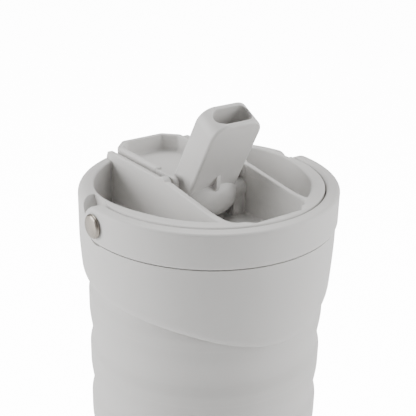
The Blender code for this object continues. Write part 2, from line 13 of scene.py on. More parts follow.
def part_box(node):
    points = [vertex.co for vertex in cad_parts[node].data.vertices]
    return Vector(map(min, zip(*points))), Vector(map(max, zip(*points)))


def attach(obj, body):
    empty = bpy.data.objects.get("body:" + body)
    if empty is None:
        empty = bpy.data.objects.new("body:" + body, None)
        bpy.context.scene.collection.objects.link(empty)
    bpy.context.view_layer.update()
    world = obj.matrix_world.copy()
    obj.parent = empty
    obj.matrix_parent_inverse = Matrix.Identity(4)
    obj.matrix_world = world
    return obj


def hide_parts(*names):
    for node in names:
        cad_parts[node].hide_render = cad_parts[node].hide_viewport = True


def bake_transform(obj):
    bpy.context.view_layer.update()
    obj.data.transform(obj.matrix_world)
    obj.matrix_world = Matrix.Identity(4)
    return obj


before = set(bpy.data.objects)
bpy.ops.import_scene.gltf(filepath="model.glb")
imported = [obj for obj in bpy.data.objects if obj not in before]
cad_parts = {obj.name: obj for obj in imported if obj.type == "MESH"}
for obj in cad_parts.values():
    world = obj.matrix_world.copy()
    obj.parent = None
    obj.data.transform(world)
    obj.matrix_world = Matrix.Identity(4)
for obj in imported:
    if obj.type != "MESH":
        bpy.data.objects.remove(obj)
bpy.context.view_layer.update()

bl_info = {
    "name": "Collapsible travel cup",
    "version": (1, 0, 0),
    "blender": (4, 5, 0),
    "location": "View3D > Sidebar > Travel cup",
    "description": "Builds the fine surface, finishes and stage of a collapsible travel cup",
    "category": "Object",
}

# ---------------------------------------------------------------- places from the frame
LID_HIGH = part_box("lid_shell")[1]
HANDLE_LOW, HANDLE_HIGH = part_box("carry_handle")
COVER_LOW, COVER_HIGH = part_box("spout_cover")
NECK_LOW, NECK_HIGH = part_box("neck_ring")
BASE_LOW, BASE_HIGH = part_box("base_cup")
FOOT_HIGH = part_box("foot_ring")[1]
RIVET_LOW, RIVET_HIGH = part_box("handle_rivet_right")
AXLE_LOW, AXLE_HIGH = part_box("spout_axle_right")
PIN_LOW, PIN_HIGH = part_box("cover_pin_right")
BANDS = [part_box("body_band_%d" % number) for number in range(1, 5)]

GAP = 0.0003
SLIP = 0.0005
COLLAR_R = LID_HIGH.y
RIM_Z = HANDLE_HIGH.z
SHELF_Z = HANDLE_LOW.z - GAP
CREST_R = BASE_HIGH.x
HANDLE_OUT = -HANDLE_LOW.y
AXIS_Z = (HANDLE_LOW.z + HANDLE_HIGH.z) / 2
PIVOT = Vector((0.0, (AXLE_LOW.y + AXLE_HIGH.y) / 2, (AXLE_LOW.z + AXLE_HIGH.z) / 2))
HINGE = Vector((0.0, (PIN_LOW.y + PIN_HIGH.y) / 2, (PIN_LOW.z + PIN_HIGH.z) / 2))
NECK_BORE = CREST_R - GAP - 0.0038
HANDLE_WALL = 0.0044
FOOT_WIDTH = 0.0045
FOOT_TURN = 0.0045
POST_HALF = 0.0030
POST_HEAD_R = 0.0035
BOSS_R = 0.0030
KNUCKLE_R = 0.0026
PORT_R = 0.0032
DRAIN_R = 0.0030
AXLE_BORE_R = 0.0019
PIN_BORE_R = 0.0014
RIVET_BORE_R = 0.0023
RIVET_BORE_END = 0.0485
RIVET_HEAD_R = 0.0039
RIVET_SHANK_R = 0.0020
SPOUT_BACKSET = 0.0026
COVER_FRONT = 0.0100
COVER_CORNER = 0.0050
UP = Vector((0.0, 0.0, 1.0))


# ---------------------------------------------------------------- settings
def length(name, default, about):
    """A length property."""
    return bpy.props.FloatProperty(name=name, description=about, default=default,
                                   unit="LENGTH", precision=5)


def colour(name, default, about):
    """A colour property."""
    return bpy.props.FloatVectorProperty(name=name, description=about, default=default,
                                         size=3, subtype="COLOR", min=0.0, max=1.0)


class CupSizes(bpy.types.PropertyGroup):
    """Sizes of the fine surface that the frame doesn't hold."""
    wave_depth: length("Wave depth", 0.0009, "How far a valley of the wall lies inside a crest")
    web_wall: length("Soft wall", 0.0016, "Thickness of the soft wall")
    shoulder: length("Shoulder", 0.0050, "Height of the quick shoulder under a valley")
    crest_flat: length("Crest", 0.0055, "Straight height of a crest")
    collar_drop: length("Collar drop", 0.0190, "Collar edge below the handle shelf at the sides")
    apron_drop: length("Apron drop", 0.0072, "Extra drop of the collar's edge at the front")
    rim_wall: length("Rim", 0.0045, "Lid rim between the handle's seat and a pocket")
    pocket_grow: length("Pocket widening", 0.0035, "How much wider the pockets are at the back")
    housing_rise: length("Channel rise", 0.0028, "Channel walls above the rim, at the back")
    deck_drop: length("Deck drop", 0.0030, "Pocket floor below the handle shelf")
    channel_half: length("Channel half width", 0.0150, "Half width of the lid's channel")
    channel_wall: length("Channel wall", 0.0020, "Thickness of the channel's side walls")
    lip: length("Lip", 0.0007, "Rounding of the lid's edges")
    spout_width: length("Spout width", 0.0194, "Width of the mouthpiece")
    spout_thick: length("Spout thickness", 0.0098, "Thickness of the mouthpiece")
    spout_length: length("Spout length", 0.0344, "Pivot to tip")
    slot_width: length("Mouth slot width", 0.0142, "Width of the mouthpiece's opening")
    slot_thick: length("Mouth slot height", 0.0064, "Height of the mouthpiece's opening")
    hub_r: length("Hub radius", 0.0076, "Radius of the spout's hub")
    cover_wall: length("Cover wall", 0.0018, "Thickness of the spout cover")


class CupColours(bpy.types.PropertyGroup):
    """Colours of the finishes."""
    plastic: colour("Plastic", (0.600, 0.590, 0.575), "Satin plastic of the lid, handle and spout")
    silicone: colour("Silicone", (0.585, 0.575, 0.560), "Matte silicone of the wall and seals")
    nickel: colour("Nickel", (0.38, 0.345, 0.30), "Brushed metal of the rivets and pins")
    floor: colour("Floor", (0.93, 0.93, 0.93), "Floor under the cup")


def sizes():
    """The size settings of the scene."""
    return bpy.context.scene.cup_sizes


def colours():
    """The colour settings of the scene."""
    return bpy.context.scene.cup_colours


# ---------------------------------------------------------------- materials
def grain_group():
    """Moulded surface: cloudy tone, fine speckle, a painted highlight on convex edges and a fine
    bump normal.
    """
    if "moulded_grain" in bpy.data.node_groups:
        return bpy.data.node_groups["moulded_grain"]
    group = bpy.data.node_groups.new("moulded_grain", "ShaderNodeTree")
    face = group.interface
    face.new_socket("Colour", in_out="INPUT", socket_type="NodeSocketColor")
    # The last setting is the strength of the painted highlight that lightens convex edges.
    for name, value in (("Cloud", 0.04), ("Grain Size", 2600.0), ("Grain Depth", 0.05),
                        ("Roughness", 0.45), ("Worn Edges", 0.3)):
        made = face.new_socket(name, in_out="INPUT", socket_type="NodeSocketFloat")
        made.default_value = value
    face.new_socket("Colour", in_out="OUTPUT", socket_type="NodeSocketColor")
    face.new_socket("Roughness", in_out="OUTPUT", socket_type="NodeSocketFloat")
    face.new_socket("Normal", in_out="OUTPUT", socket_type="NodeSocketVector")
    nodes = group.nodes
    links = group.links
    start = nodes.new("NodeGroupInput")
    end = nodes.new("NodeGroupOutput")
    place = nodes.new("ShaderNodeTexCoord")
    cloud = nodes.new("ShaderNodeTexNoise")
    cloud.inputs["Scale"].default_value = 45.0
    cloud.inputs["Detail"].default_value = 4.0
    speckle = nodes.new("ShaderNodeTexNoise")
    speckle.inputs["Detail"].default_value = 2.0
    coarse = nodes.new("ShaderNodeTexNoise")
    coarse.inputs["Scale"].default_value = 420.0
    coarse.inputs["Detail"].default_value = 3.0
    links.new(place.outputs["Object"], cloud.inputs["Vector"])
    links.new(place.outputs["Object"], speckle.inputs["Vector"])
    links.new(place.outputs["Object"], coarse.inputs["Vector"])
    links.new(start.outputs["Grain Size"], speckle.inputs["Scale"])

    def maths(kind, first, second):
        made = nodes.new("ShaderNodeMath")
        made.operation = kind
        for number, value in enumerate((first, second)):
            if isinstance(value, float):
                made.inputs[number].default_value = value
            else:
                links.new(value, made.inputs[number])
        return made.outputs["Value"]

    # Painted highlight: convex edges, found by pointiness, are lightened as if light caught the
    # rounded rims.
    bend = nodes.new("ShaderNodeNewGeometry")
    edge = nodes.new("ShaderNodeMapRange")
    edge.inputs["From Min"].default_value = 0.52
    edge.inputs["From Max"].default_value = 0.62
    links.new(bend.outputs["Pointiness"], edge.inputs["Value"])
    painted_edge_highlight = maths("MULTIPLY", edge.outputs["Result"], start.outputs["Worn Edges"])
    swing = maths("SUBTRACT", cloud.outputs["Fac"], 0.5)
    swing = maths("MULTIPLY", swing, start.outputs["Cloud"])
    dots = maths("SUBTRACT", speckle.outputs["Fac"], 0.5)
    dots = maths("MULTIPLY", dots, 0.03)
    total = maths("ADD", swing, dots)
    # Add the painted edge highlight to the tone.
    total = maths("ADD", total, maths("MULTIPLY", painted_edge_highlight, 0.12))
    gain = maths("ADD", total, 1.0)
    tint = nodes.new("ShaderNodeVectorMath")
    tint.operation = "SCALE"
    links.new(start.outputs["Colour"], tint.inputs[0])
    links.new(gain, tint.inputs["Scale"])
    links.new(tint.outputs["Vector"], end.inputs["Colour"])
    rough = maths("MULTIPLY", coarse.outputs["Fac"], 0.12)
    rough = maths("ADD", rough, start.outputs["Roughness"])
    rough = maths("SUBTRACT", rough, 0.06)
    links.new(rough, end.inputs["Roughness"])
    mixed = maths("MULTIPLY", coarse.outputs["Fac"], 0.5)
    mixed = maths("ADD", mixed, speckle.outputs["Fac"])
    bump = nodes.new("ShaderNodeBump")
    bump.inputs["Distance"].default_value = 0.00004
    links.new(start.outputs["Grain Depth"], bump.inputs["Strength"])
    links.new(mixed, bump.inputs["Height"])
    links.new(bump.outputs["Normal"], end.inputs["Normal"])
    return group


def moulded(name, tint, roughness, grain_size, grain_depth, cloud, sheen=0.0, soft=0.0):
    """A moulded plastic or silicone finish."""
    if name in bpy.data.materials:
        return bpy.data.materials[name]
    made = bpy.data.materials.new(name)
    made.use_nodes = True
    nodes = made.node_tree.nodes
    links = made.node_tree.links
    shader = nodes["Principled BSDF"]
    grain = nodes.new("ShaderNodeGroup")
    grain.node_tree = grain_group()
    grain.inputs["Colour"].default_value = (*tint, 1.0)
    grain.inputs["Cloud"].default_value = cloud
    grain.inputs["Grain Size"].default_value = grain_size
    grain.inputs["Grain Depth"].default_value = grain_depth
    grain.inputs["Roughness"].default_value = roughness
    links.new(grain.outputs["Colour"], shader.inputs["Base Color"])
    links.new(grain.outputs["Roughness"], shader.inputs["Roughness"])
    links.new(grain.outputs["Normal"], shader.inputs["Normal"])
    shader.inputs["Sheen Weight"].default_value = sheen
    shader.inputs["Sheen Roughness"].default_value = 0.5
    shader.inputs["Subsurface Weight"].default_value = soft
    shader.inputs["Subsurface Radius"].default_value = (1.0, 0.95, 0.9)
    shader.inputs["Subsurface Scale"].default_value = 0.002
    shader.inputs["Specular IOR Level"].default_value = 0.45
    return made


def satin_plastic():
    """Satin moulded plastic."""
    return moulded("satin_plastic", colours().plastic, 0.46, 2400.0, 0.22, 0.035, soft=0.08)


def spout_plastic():
    """Smoother plastic of the mouthpiece and its cover."""
    return moulded("mouthpiece_plastic", colours().plastic, 0.42, 2600.0, 0.14, 0.03, soft=0.08)


def matte_silicone():
    """Soft matte silicone."""
    return moulded("matte_silicone", colours().silicone, 0.62, 1900.0, 0.30, 0.05,
                   sheen=0.12, soft=0.12)


def brushed_nickel():
    """Metal face turned on a lathe, with fine rings and a darker worn tone."""
    name = "brushed_nickel"
    if name in bpy.data.materials:
        return bpy.data.materials[name]
    made = bpy.data.materials.new(name)
    made.use_nodes = True
    nodes = made.node_tree.nodes
    links = made.node_tree.links
    shader = nodes["Principled BSDF"]
    place = nodes.new("ShaderNodeTexCoord")
    centre = nodes.new("ShaderNodeMapping")
    centre.inputs["Location"].default_value = (0.0, 0.0, -AXIS_Z)
    centre.inputs["Scale"].default_value = (0.0, 1.0, 1.0)
    rings = nodes.new("ShaderNodeTexWave")
    rings.wave_type = "RINGS"
    rings.rings_direction = "SPHERICAL"
    rings.inputs["Scale"].default_value = 900.0
    rings.inputs["Distortion"].default_value = 3.0
    rings.inputs["Detail"].default_value = 3.0
    blotch = nodes.new("ShaderNodeTexNoise")
    blotch.inputs["Scale"].default_value = 500.0
    tone = nodes.new("ShaderNodeMixRGB")
    tint = colours().nickel
    tone.inputs["Color1"].default_value = (*[part * 0.82 for part in tint], 1.0)
    tone.inputs["Color2"].default_value = (*tint, 1.0)
    rough = nodes.new("ShaderNodeMapRange")
    rough.inputs["To Min"].default_value = 0.26
    rough.inputs["To Max"].default_value = 0.42
    bump = nodes.new("ShaderNodeBump")
    bump.inputs["Distance"].default_value = 0.00002
    bump.inputs["Strength"].default_value = 0.25
    links.new(place.outputs["Object"], centre.inputs["Vector"])
    links.new(centre.outputs["Vector"], rings.inputs["Vector"])
    links.new(place.outputs["Object"], blotch.inputs["Vector"])
    links.new(blotch.outputs["Fac"], tone.inputs["Fac"])
    links.new(tone.outputs["Color"], shader.inputs["Base Color"])
    links.new(rings.outputs["Fac"], rough.inputs["Value"])
    links.new(rough.outputs["Result"], shader.inputs["Roughness"])
    links.new(rings.outputs["Fac"], bump.inputs["Height"])
    links.new(bump.outputs["Normal"], shader.inputs["Normal"])
    shader.inputs["Metallic"].default_value = 1.0
    return made


def stage_floor():
    """Pale floor that fades to white."""
    made = bpy.data.materials.new("pale_floor")
    made.use_nodes = True
    nodes = made.node_tree.nodes
    links = made.node_tree.links
    shader = nodes["Principled BSDF"]
    place = nodes.new("ShaderNodeTexCoord")
    noise = nodes.new("ShaderNodeTexNoise")
    noise.inputs["Scale"].default_value = 30.0
    tone = nodes.new("ShaderNodeMixRGB")
    tint = colours().floor
    tone.inputs["Color1"].default_value = (*tint, 1.0)
    tone.inputs["Color2"].default_value = (*[min(1.0, part * 1.03) for part in tint], 1.0)
    links.new(place.outputs["Object"], noise.inputs["Vector"])
    links.new(noise.outputs["Fac"], tone.inputs["Fac"])
    links.new(tone.outputs["Color"], shader.inputs["Base Color"])
    links.new(tone.outputs["Color"], shader.inputs["Emission Color"])
    seen = nodes.new("ShaderNodeLightPath")
    glow = nodes.new("ShaderNodeMapRange")
    glow.inputs["To Min"].default_value = 0.15
    glow.inputs["To Max"].default_value = 14.0
    links.new(seen.outputs["Is Camera Ray"], glow.inputs["Value"])
    links.new(glow.outputs["Result"], shader.inputs["Emission Strength"])
    shader.inputs["Roughness"].default_value = 0.9
    return made


# ---------------------------------------------------------------- mesh tools
def mesh_from(name, work):
    """Turn a bmesh into a smooth-shaded mesh with its faces out."""
    bmesh.ops.remove_doubles(work, verts=work.verts, dist=0.000001)
    bmesh.ops.recalc_face_normals(work, faces=work.faces)
    mesh = bpy.data.meshes.new(name)
    work.to_mesh(mesh)
    work.free()
    mesh.shade_smooth()
    mesh.set_sharp_from_angle(angle=math.radians(38))
    return mesh


def link(name, mesh):
    """Put a mesh into the scene."""
    made = bpy.data.objects.new(name, mesh)
    bpy.context.scene.collection.objects.link(made)
    return made


def baked(piece):
    """Apply a piece's modifiers, and remove the tools that its Booleans used."""
    used = [item.object for item in piece.modifiers if item.type == "BOOLEAN"]
    bpy.context.view_layer.update()
    seen = piece.evaluated_get(bpy.context.evaluated_depsgraph_get())
    mesh = bpy.data.meshes.new_from_object(seen)
    piece.modifiers.clear()
    piece.data = mesh
    for old in used:
        bpy.data.objects.remove(old, do_unlink=True)
    mesh.shade_smooth()
    mesh.set_sharp_from_angle(angle=math.radians(38))
    return piece


def carve(piece, builds, operation="DIFFERENCE"):
    """Add one EXACT Boolean for each mesh-making function."""
    for build in builds:
        work = bmesh.new()
        build(work)
        other = link(piece.name + "_tool", mesh_from(piece.name + "_tool", work))
        boolean = piece.modifiers.new(other.name, "BOOLEAN")
        boolean.object = other
        boolean.operation = operation
        boolean.solver = "EXACT"


def finish_piece(piece, body, finish, nodes=()):
    """Give a piece its finish, its body and the nodes it stands for."""
    piece.data.materials.clear()
    piece.data.materials.append(finish)
    if body:
        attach(piece, body)
    if nodes:
        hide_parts(*nodes)
    return piece


def spun(name, profile, steps, closed=True):
    """Spin a profile of (radius, height) about Z."""
    work = bmesh.new()
    verts = [work.verts.new((radius, 0.0, height)) for radius, height in profile]
    pairs = list(zip(verts, verts[1:]))
    if closed:
        pairs.append((verts[-1], verts[0]))
    edges = [work.edges.new(pair) for pair in pairs]
    bmesh.ops.spin(work, geom=verts + edges, cent=(0.0, 0.0, 0.0), axis=(0.0, 0.0, 1.0),
                   angle=2 * math.pi, steps=steps, use_merge=True)
    return mesh_from(name, work)


def arc(radius, start, end, steps, centre=(0.0, 0.0)):
    """Points on a circle, angles in degrees."""
    angles = [math.radians(start + (end - start) * i / steps) for i in range(steps + 1)]
    return [(centre[0] + radius * math.cos(a), centre[1] + radius * math.sin(a)) for a in angles]


def signed_area(points):
    """Twice the signed area of an outline."""
    return sum(a[0] * b[1] - b[0] * a[1] for a, b in zip(points, points[1:] + points[:1]))


def widened(points, distance):
    """An outline moved outward by a distance, along its own normals."""
    if not distance:
        return list(points)
    turn = 1.0 if signed_area(points) > 0 else -1.0
    moved = []
    for before, here, after in zip(points[-1:] + points[:-1], points, points[1:] + points[:1]):
        first = Vector((here[0] - before[0], here[1] - before[1])).normalized()
        second = Vector((after[0] - here[0], after[1] - here[1])).normalized()
        normal = Vector((first.y + second.y, -first.x - second.x)) * turn
        reach = max(0.35, (normal.length / 2) ** 2)
        normal = normal.normalized() * (distance * (normal.length / 2) / reach)
        moved.append((here[0] + normal.x, here[1] + normal.y))
    return moved


def softened(points, radius, steps=5):
    """Round the corners of an outline that turn by more than 30 degrees."""
    made = []
    for before, here, after in zip(points[-1:] + points[:-1], points, points[1:] + points[:1]):
        corner = Vector(here)
        back = Vector(before) - corner
        forward = Vector(after) - corner
        turn = math.pi - back.angle(forward)
        if turn < math.radians(30):
            made.append(here)
            continue
        reach = min(radius * math.tan(turn / 2), back.length * 0.49, forward.length * 0.49)
        start = corner + back.normalized() * reach
        end = corner + forward.normalized() * reach
        for step in range(steps + 1):
            share = step / steps
            point = start.lerp(corner, share).lerp(corner.lerp(end, share), share)
            made.append((point.x, point.y))
    return made


def loft(work, loops, cap=True):
    """Bridge closed loops of points into one closed body."""
    rings = []
    for points in loops:
        verts = [work.verts.new(point) for point in points]
        rings.append([work.edges.new(pair) for pair in zip(verts, verts[1:] + verts[:1])])
        if cap and (points is loops[0] or points is loops[-1]):
            work.faces.new(verts)
    for low, high in zip(rings, rings[1:]):
        bmesh.ops.bridge_loops(work, edges=low + high)


def well(outline, low, top, foot=0.0, lip=0.0, over=0.012, matrix=None):
    """A cutter with a rounded foot and a lip that flares, so the hole's edges are round."""
    def build(work):
        levels = []
        steps = 4
        if foot:
            for step in range(steps + 1):
                a = math.pi / 2 * step / steps
                levels.append((-foot * (1 - math.sin(a)), low + foot * (1 - math.cos(a))))
        else:
            levels.append((0.0, low))
        if lip:
            for step in range(steps + 1):
                a = math.pi / 2 * step / steps
                levels.append((lip * (1 - math.cos(a)), top - lip + lip * math.sin(a)))
            levels.append((lip + 0.00001, top + over))
        else:
            levels.append((0.0, top + over))
        loops = [[(x, y, z) for x, y in widened(outline, grow)] for grow, z in levels]
        loft(work, loops)
        if matrix:
            bmesh.ops.transform(work, matrix=matrix, verts=work.verts)
    return build


def rod(radius, x_low, x_high, y, z, steps=64, edge=0.0):
    """A cylinder along X with rounded rims."""
    def build(work):
        place = (Matrix.Translation(((x_low + x_high) / 2, y, z))
                 @ Matrix.Rotation(math.pi / 2, 4, "Y"))
        bmesh.ops.create_cone(work, cap_ends=True, segments=steps, radius1=radius,
                              radius2=radius, depth=abs(x_high - x_low), matrix=place)
        if edge:
            rims = [item for item in work.edges
                    if abs(item.verts[0].co.x - item.verts[1].co.x) < 0.00001]
            bmesh.ops.bevel(work, geom=rims, offset=edge, segments=3, profile=0.5,
                            affect="EDGES", material=-1)
    return build


def block(low, high, edge=0.0, matrix=None):
    """A box with rounded edges."""
    def build(work):
        middle = (Vector(low) + Vector(high)) / 2
        size = Vector(high) - Vector(low)
        place = Matrix.Translation(middle) @ Matrix.Diagonal((*size, 1.0))
        bmesh.ops.create_cube(work, size=1.0, matrix=place)
        if edge:
            bmesh.ops.bevel(work, geom=list(work.edges), offset=edge, segments=3, profile=0.5,
                            affect="EDGES", material=-1)
        if matrix:
            bmesh.ops.transform(work, matrix=matrix, verts=work.verts)
    return build


def chamfered(half, near, far, cut):
    """A rectangle about the Y axis with its far corners cut."""
    step = math.copysign(cut, far - near)
    return [(-half, near), (half, near), (half, far - step),
            (half - cut, far), (-half + cut, far), (-half, far - step)]


# ---------------------------------------------------------------- soft wall
BAND_MIDDLES = [(low.z + high.z) / 2 for low, high in BANDS]
PITCH = (BAND_MIDDLES[0] - BAND_MIDDLES[-1]) / (len(BAND_MIDDLES) - 1)


def wave_radius(height):
    """Outer radius of the soft wall at a height."""
    size = sizes()
    first = BAND_MIDDLES[0] + size.shoulder + size.crest_flat / 2
    below = (first - height) % PITCH
    if below < size.shoulder:
        share = math.sin(math.pi / 2 * below / size.shoulder) ** 2
    elif below < size.shoulder + size.crest_flat:
        share = 1.0
    else:
        run = PITCH - size.shoulder - size.crest_flat
        share = 1.0 - math.sin(math.pi / 2 * (below - size.shoulder - size.crest_flat) / run) ** 2
    return CREST_R - size.wave_depth * (1.0 - share)


def wall_piece(name, low, high, tail=()):
    """One turned length of the soft wall, with an optional tail profile below it."""
    count = max(8, int((high - low) / 0.0006))
    heights = [high + (low - high) * i / count for i in range(count + 1)]
    outer = [(wave_radius(z), z) for z in heights]
    inside = CREST_R - sizes().wave_depth - sizes().web_wall
    inner_steps = 12
    inner = [(inside, low + (high - low) * i / inner_steps) for i in range(inner_steps + 1)]
    if tail:
        inner = inner[1:]
    return link(name, spun(name, outer + list(tail) + inner, 192))


class CUP_OT_wall(bpy.types.Operator):
    """Build the waved soft wall, the neck and the base"""
    bl_idname = "cup.wall"
    bl_label = "Soft wall"

    def execute(self, context):
        tops = [NECK_HIGH.z] + BAND_MIDDLES
        lows = BAND_MIDDLES + [BASE_HIGH.z]
        stood = [("neck_ring", "body_web_1", "body_band_1"), ("body_web_2", "body_band_2"),
                 ("body_web_3", "body_band_3"), ("body_web_4", "body_band_4"),
                 ("body_web_5", "base_cup")]
        for number, nodes in enumerate(stood):
            tail = base_tail() if number == len(stood) - 1 else ()
            name = "soft_wall_%d" % (number + 1)
            piece = wall_piece(name, lows[number], tops[number], tail)
            piece.data.materials.append(matte_silicone())
            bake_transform(piece)
            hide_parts(*nodes)
        return {"FINISHED"}


def base_tail():
    """Profile of the base, from the wall down round the foot and back up inside."""
    low = BASE_LOW.z
    turn = FOOT_TURN
    profile = arc(turn, 0, -90, 10, (CREST_R - turn, low + turn))
    groove_out = FOOT_HIGH.x + GAP
    groove_in = FOOT_HIGH.x - FOOT_WIDTH - GAP
    groove_top = FOOT_HIGH.z + GAP
    profile += [(groove_out, low), (groove_out, groove_top), (groove_in, groove_top),
                (groove_in, low), (0.0, low)]
    floor = low + 0.0022 + 0.0030
    inside = CREST_R - sizes().wave_depth - sizes().web_wall
    profile += [(0.0, floor)] + arc(turn, -90, 0, 8, (inside - turn, floor + turn))
    return profile


# ---------------------------------------------------------------- lid
def collar_edge(y):
    """Height of the collar's lower edge."""
    size = sizes()
    drop = size.collar_drop - 0.07 * y
    if y < 0.0:
        drop += size.apron_drop * (-y / COLLAR_R) ** 4
    return SHELF_Z - drop


def collar_body():
    """Turned lid blank whose lower rows are then drawn down to the swooping edge."""
    size = sizes()
    deck_under = SHELF_Z - size.deck_drop - 0.0020
    bore = CREST_R + GAP
    rim_round = 0.0030
    rows = 22
    plug = NECK_BORE - SLIP
    groove = 0.0011
    profile = [(0.0, RIM_Z)] + arc(rim_round, 90, 0, 8, (COLLAR_R - rim_round, RIM_Z - rim_round))
    profile += [(COLLAR_R, -i / rows) for i in range(0, rows + 1)]
    profile += [(bore, -1.0), (bore, deck_under), (plug, deck_under),
                (plug, deck_under - 0.0032), (plug - groove, deck_under - 0.0032),
                (plug - groove, deck_under - 0.0068), (plug, deck_under - 0.0068),
                (plug, deck_under - 0.0100), (plug - 0.0020, deck_under - 0.0100),
                (plug - 0.0020, deck_under), (0.0, deck_under)]
    mesh = spun("lid_surface", profile, 192, closed=False)
    start = SHELF_Z - 0.004
    fillet = 0.0030
    for vert in mesh.vertices:
        if vert.co.z > 0.0:
            continue
        share = -vert.co.z
        radius = math.hypot(vert.co.x, vert.co.y)
        edge = collar_edge(vert.co.y * COLLAR_R / radius)
        share = 1.0 - (1.0 - share) ** 1.6
        vert.co.z = start + (edge - start) * share
        if radius > bore + 0.0001:
            slim = COLLAR_R - 0.0009 * share ** 1.5
            near = max(0.0, 1.0 - (vert.co.z - edge) / fillet)
            slim -= (slim - bore - 0.0003) * (1.0 - math.sqrt(max(0.0, 1.0 - near * near)))
            vert.co.x *= slim / radius
            vert.co.y *= slim / radius
    return link("lid_surface", mesh)


def pocket_outline(wall_x):
    """Outline of the right pocket, wider behind the handle's axis than in front of it."""
    size = sizes()
    front_r = HANDLE_OUT - HANDLE_WALL - SLIP - size.rim_wall
    front = -math.degrees(math.acos(wall_x / front_r))
    back = math.degrees(math.acos(wall_x / (front_r + size.pocket_grow)))
    points = []
    for step in range(65):
        angle = front + (back - front) * step / 64
        share = min(1.0, max(0.0, (angle + 25.0) / 50.0))
        radius = front_r + size.pocket_grow * share * share * (3.0 - 2.0 * share)
        points.append((radius * math.cos(math.radians(angle)),
                       radius * math.sin(math.radians(angle))))
    return points


def channel_wall(sign):
    """Raised top of one channel wall, sloping down to the rim at the front."""
    def build(work):
        size = sizes()
        top = RIM_Z + size.housing_rise
        near = sign * (size.channel_half + 0.00004)
        front = PIVOT.y - size.spout_length + 0.0045
        outline = [(front, RIM_Z - 0.004), (front, RIM_Z - 0.00025), (-0.022, RIM_Z + 0.0001),
                   (-0.008, top - 0.0010), (-0.002, top - 0.0002), (PIVOT.y + 0.004, top),
                   (0.0350, top), (0.0361, top - 0.0004), (0.0365, top - 0.0015),
                   (0.0365, RIM_Z - 0.004)]
        face = work.faces.new([work.verts.new((near, y, z)) for y, z in outline])
        raised = bmesh.ops.extrude_face_region(work, geom=[face])
        moved = [item for item in raised["geom"] if isinstance(item, bmesh.types.BMVert)]
        bmesh.ops.translate(work, verts=moved, vec=(sign * (size.channel_wall - 0.00008), 0, 0))
        bmesh.ops.recalc_face_normals(work, faces=work.faces)
        rims = [item for item in work.edges
                if min(vert.co.z for vert in item.verts) > RIM_Z - 0.0003
                and abs(item.verts[0].co.x - item.verts[1].co.x) < size.channel_wall / 2]
        bmesh.ops.bevel(work, geom=rims, offset=0.0005, segments=3, profile=0.5,
                        affect="EDGES", material=-1)
    return build


def lid_cuts():
    """Cutters of the handle's seat, the pockets and the channel, in order."""
    size = sizes()
    deck = SHELF_Z - size.deck_drop
    lip = size.lip
    ring_r = HANDLE_OUT - HANDLE_WALL - SLIP
    outside = COLLAR_R + 0.006
    shelf = arc(outside, 180.6, 359.4, 64) + arc(ring_r, 359.4, 180.6, 128)
    cuts = [well(shelf, SHELF_Z, RIM_Z, 0.0, lip)]
    half = (HANDLE_HIGH.z - HANDLE_LOW.z) / 2 + 0.0008
    for sign in (-1, 1):
        cuts.append(rod(half, sign * (ring_r - 0.0002), sign * outside, 0.0, AXIS_Z, 96))
        for depth, lean in ((0.0002, 0.0), (0.0012, math.radians(26.0))):
            near = sign * (ring_r - depth)
            far = sign * outside
            place = Matrix.Translation((0.0, 0.0, AXIS_Z)) @ Matrix.Rotation(-lean, 4, "X")
            cuts.append(block((min(near, far), -0.0007, 0.0003), (max(near, far), half - 0.00005,
                               0.03), matrix=place))
    wall_x = size.channel_half + size.channel_wall
    right = softened(pocket_outline(wall_x), 0.0035)
    left = [(-x, y) for x, y in reversed(right)]
    cuts.append(well(right, deck, RIM_Z, 0.0012, lip))
    cuts.append(well(left, deck, RIM_Z, 0.0012, lip))
    front = PIVOT.y - size.spout_length - SLIP
    channel = [(-size.channel_half, front), (size.channel_half, front),
               (size.channel_half, 0.0290), (-size.channel_half, 0.0290)]
    cuts.append(well(softened(channel, 0.0050, 8), deck, RIM_Z, 0.0012, lip))
    return cuts


def cover_cuts():
    """Cutters of the open cover's rest and the closed cover's ledge."""
    cuts = []
    seat = COVER_HIGH.x + SLIP
    rear = chamfered(seat, 0.0, COVER_HIGH.y + SLIP, 0.0050)
    cuts.append(well(softened(rear, 0.0015), COVER_LOW.z - GAP, RIM_Z, 0.0, 0.0004))
    closed_front = 2 * HINGE.y - COVER_HIGH.y
    closed_low = 2 * HINGE.z - COVER_HIGH.z
    ledge = chamfered(seat, 0.0, closed_front - SLIP, 0.0050)
    cuts.append(well(softened(ledge, 0.0015), closed_low - GAP, RIM_Z, 0.0, 0.0004))
    return cuts


